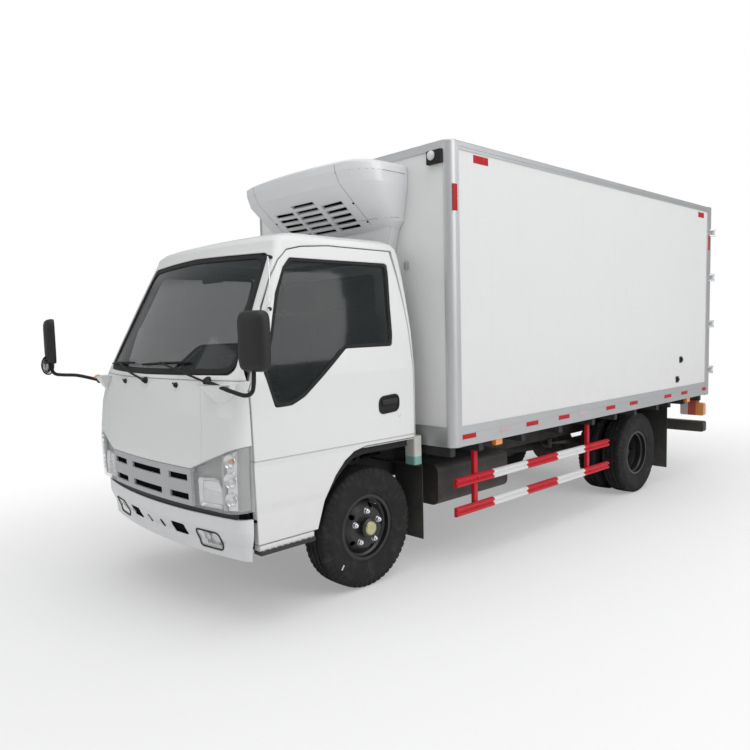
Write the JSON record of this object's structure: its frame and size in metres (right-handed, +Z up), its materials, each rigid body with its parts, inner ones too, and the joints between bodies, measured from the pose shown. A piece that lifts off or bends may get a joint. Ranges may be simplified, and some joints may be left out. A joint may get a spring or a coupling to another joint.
{
  "type": "refrigerated truck",
  "caption": "Light forward-control truck with an insulated white box body, nose-mounted cooling unit over the cab, twin rear wheels, hinged rear doors and a tilting cab.",
  "frame": {"origin": "on the ground, midway along and across the whole truck", "axes": "+Z up, +Y towards the rear doors (the truck faces -Y), +X towards its left side"},
  "size_m": [2.2405, 6.0462, 2.757],
  "materials": {
    "body_white": "gloss white paint of the cab and bumper, with a black strip along the bumper top",
    "box_white": "white coated box skin, rows of fine marks and light road film",
    "box_aluminium": "satin extruded rails and corner posts",
    "stainless": "brushed rear portal frame",
    "unit_white": "moulded white housing",
    "trim_grey": "satin silver-grey grille plastic",
    "trim_black": "grained black plastic",
    "chassis_black": "satin black chassis paint with dust",
    "cast_grey": "raw casting",
    "spring_steel": "dull black leaves",
    "wheel_black": "black wheels with zinc hub caps and chrome nuts",
    "tyre": "ribbed road tread, dusty sidewall",
    "glass": "lightly green tinted glass",
    "lamp_clear": "clear lens over bright reflectors",
    "lamp_red": "red and amber tail lamp lens",
    "lamp_amber": "amber and white lens",
    "interior_grey": "grained dashboard plastic",
    "seat_cloth": "woven grey seat cloth",
    "guard_white": "white side rails with red and white segments",
    "rubber": "black rubber sheet",
    "bottle_white": "translucent white tank",
    "fuel_metal": "dull aluminised tank",
    "exhaust_metal": "heat dulled steel",
    "liner_white": "white glass-fibre panel"
  },
  "bodies": {
    "chassis": {"chassis_frame": "chassis_black", "engine_block": "cast_grey", "gearbox": "cast_grey", "propshaft": "chassis_black", "front_axle": "chassis_black", "leaf_springs": "spring_steel", "rear_axle": "chassis_black", "bumper": "body_white", "fog_lamps": "lamp_clear", "subframe": "chassis_black", "side_guards": "guard_white", "rear_bumper": "chassis_black", "tail_lamps": "lamp_red", "flap_brackets": "chassis_black", "mud_flaps": "rubber", "coolant_bottle": "bottle_white", "fuel_tank": "fuel_metal", "battery_box": "trim_black", "exhaust": "exhaust_metal", "box_body": "box_white", "box_trim": "box_aluminium", "rear_frame": "stainless", "door_retainers": "stainless", "unit_housing": "unit_white", "evaporator": "liner_white", "marker_lamps": "lamp_amber"},
    "cab": {"cab_shell": "body_white", "front_panel": "body_white", "grille": "trim_grey", "headlamps": "lamp_clear", "cab_glass": "glass", "dashboard": "interior_grey", "steering_wheel": "trim_black", "seats": "seat_cloth", "step_boards": "trim_black", "mirrors": "trim_black"},
    "cab_door_left": {"door_left": "body_white", "door_glass_left": "glass"},
    "cab_door_right": {"door_right": "body_white", "door_glass_right": "glass"},
    "rear_door_left": {"rear_door_left": "box_white", "rear_locks_left": "stainless"},
    "rear_door_right": {"rear_door_right": "box_white", "rear_locks_right": "stainless"},
    "knuckle_left": {"knuckle_left": "cast_grey"},
    "knuckle_right": {"knuckle_right": "cast_grey"},
    "tie_rod": {"tie_rod": "chassis_black"},
    "front_wheel_left": {"wheel_front_left": "wheel_black", "tyre_front_left": "tyre"},
    "front_wheel_right": {"wheel_front_right": "wheel_black", "tyre_front_right": "tyre"},
    "rear_wheels_left": {"wheel_rear_left": "wheel_black", "tyres_rear_left": "tyre"},
    "rear_wheels_right": {"wheel_rear_right": "wheel_black", "tyres_rear_right": "tyre"}
  },
  "joints": [
    {"name": "cab_tilt", "type": "hinge", "parent": "chassis", "child": "cab", "pos_m": [0, -2.657, 0.575], "axis": [1, 0, 0], "range_deg": [0, 45]},
    {"name": "door_left", "type": "hinge", "parent": "cab", "child": "cab_door_left", "pos_m": [0.826, -2.549, 1.2], "axis": [0, 0, -1], "range_deg": [0, 70]},
    {"name": "door_right", "type": "hinge", "parent": "cab", "child": "cab_door_right", "pos_m": [-0.826, -2.549, 1.2], "axis": [0, 0, 1], "range_deg": [0, 70]},
    {"name": "rear_door_left", "type": "hinge", "parent": "chassis", "child": "rear_door_left", "pos_m": [1.062, 2.996, 1.8], "axis": [0, 0, -1], "range_deg": [0, 270]},
    {"name": "rear_door_right", "type": "hinge", "parent": "chassis", "child": "rear_door_right", "pos_m": [-1.062, 2.996, 1.8], "axis": [0, 0, 1], "range_deg": [0, 270]},
    {"name": "steer_left", "type": "hinge", "parent": "chassis", "child": "knuckle_left", "pos_m": [0.585, -1.762, 0.375], "axis": [0, 0, 1], "range_deg": [-35, 35]},
    {"name": "steer_right", "type": "hinge", "parent": "chassis", "child": "knuckle_right", "pos_m": [-0.585, -1.762, 0.375], "axis": [0, 0, 1], "range_deg": [-35, 35]},
    {"name": "tie_rod_ball", "type": "hinge", "parent": "knuckle_left", "child": "tie_rod", "pos_m": [0.585, -1.612, 0.268], "axis": [0, 0, 1], "range_deg": [-36, 36]},
    {"name": "front_wheel_left", "type": "hinge", "parent": "knuckle_left", "child": "front_wheel_left", "pos_m": [0.695, -1.762, 0.375], "axis": [1, 0, 0], "continuous": true},
    {"name": "front_wheel_right", "type": "hinge", "parent": "knuckle_right", "child": "front_wheel_right", "pos_m": [-0.695, -1.762, 0.375], "axis": [1, 0, 0], "continuous": true},
    {"name": "rear_wheels_left", "type": "hinge", "parent": "chassis", "child": "rear_wheels_left", "pos_m": [0.7125, 1.598, 0.375], "axis": [1, 0, 0], "continuous": true},
    {"name": "rear_wheels_right", "type": "hinge", "parent": "chassis", "child": "rear_wheels_right", "pos_m": [-0.7125, 1.598, 0.375], "axis": [1, 0, 0], "continuous": true}
  ],
  "couplings": [
    {"joint": "steer_right", "follows": "steer_left", "ratio": 1},
    {"joint": "tie_rod_ball", "follows": "steer_left", "ratio": -1}
  ]
}
